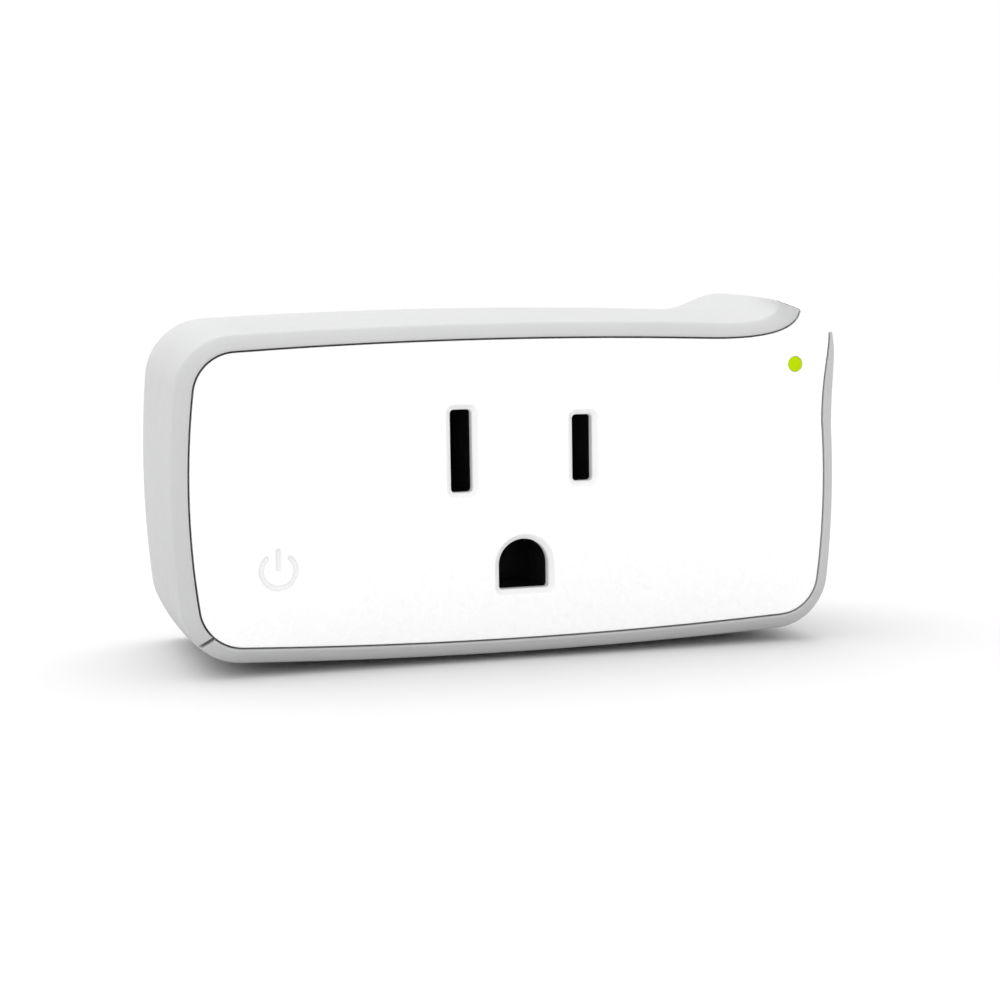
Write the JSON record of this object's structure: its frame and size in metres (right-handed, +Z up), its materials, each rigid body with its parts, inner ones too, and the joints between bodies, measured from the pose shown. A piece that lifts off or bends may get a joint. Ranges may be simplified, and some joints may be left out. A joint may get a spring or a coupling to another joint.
{
  "type": "smart plug",
  "caption": "Flat smart plug with a grounded outlet in a white front plate, a bevelled grey casing, a raised corner with a press button, a status light and rear plug blades.",
  "frame": {"origin": "on the rear, wall-side face, halfway between the two flat plug blades", "axes": "+Y points back into the wall along the blades, -Y out of the front plate, +Z up with the ground pin below the blades, +X right as seen from the front"},
  "size_m": [0.0721, 0.0537, 0.0387],
  "materials": {
    "plate": "glossy white moulded front plate",
    "button": "glossy white moulded button",
    "casing": "pale grey moulded casing, fine satin texture",
    "lens": "lime light pipe",
    "led": "moulded lamp package",
    "core": "black outlet moulding",
    "black_plastic": "black moulded plastic",
    "contact": "stamped brass",
    "blade": "nickel-plated brass",
    "screw": "zinc-plated steel",
    "board": "green circuit board",
    "relay": "blue relay case",
    "shield": "tinned sheet and caps",
    "film": "yellow capacitor box",
    "disc": "blue coated disc",
    "ferrite": "grey ferrite",
    "winding": "yellow winding tape",
    "sleeve": "shrink-sleeved can"
  },
  "bodies": {
    "housing": {"upper_casing": "casing", "lower_casing": "casing", "front_plate": "plate", "status_lens": "lens", "rear_cover": "casing", "case_screw_1": "screw", "case_screw_2": "screw", "case_screw_3": "screw", "case_screw_4": "screw", "switch_body": "black_plastic", "control_board": "board", "status_led": "led", "receptacle_core": "core", "receptacle_retainer": "black_plastic", "neutral_contact": "contact", "hot_contact": "contact", "ground_contact": "contact", "neutral_blade": "blade", "hot_blade": "blade", "ground_pin": "blade", "blade_carrier": "black_plastic", "carrier_screw_1": "screw", "carrier_screw_2": "screw", "main_board": "board", "neutral_bus": "contact", "load_bus": "contact", "line_bus": "contact", "ground_bus": "contact", "relay": "relay", "radio_board": "board", "radio_shield": "shield", "film_capacitor": "film", "varistor": "disc", "fuse": "shield", "board_header": "black_plastic", "transformer_core": "ferrite", "transformer_winding": "winding", "bulk_capacitor": "sleeve", "output_capacitor": "sleeve", "bridge_rectifier": "black_plastic", "line_inductor": "ferrite", "power_chip": "black_plastic"},
    "button": {"power_button": "button"},
    "plunger": {"switch_plunger": "black_plastic"}
  },
  "joints": [
    {"name": "button_press", "type": "slide", "parent": "housing", "child": "button", "axis": [-0.7071, 0, -0.7071], "range_m": [0, 0.0005], "stiffness_N_per_m": 400, "springref_m": -0.0005},
    {"name": "plunger_press", "type": "slide", "parent": "housing", "child": "plunger", "axis": [-0.7071, 0, -0.7071], "range_m": [0, 0.00025]}
  ],
  "couplings": [
    {"joint": "plunger_press", "follows": "button_press", "ratio": 0.5}
  ]
}
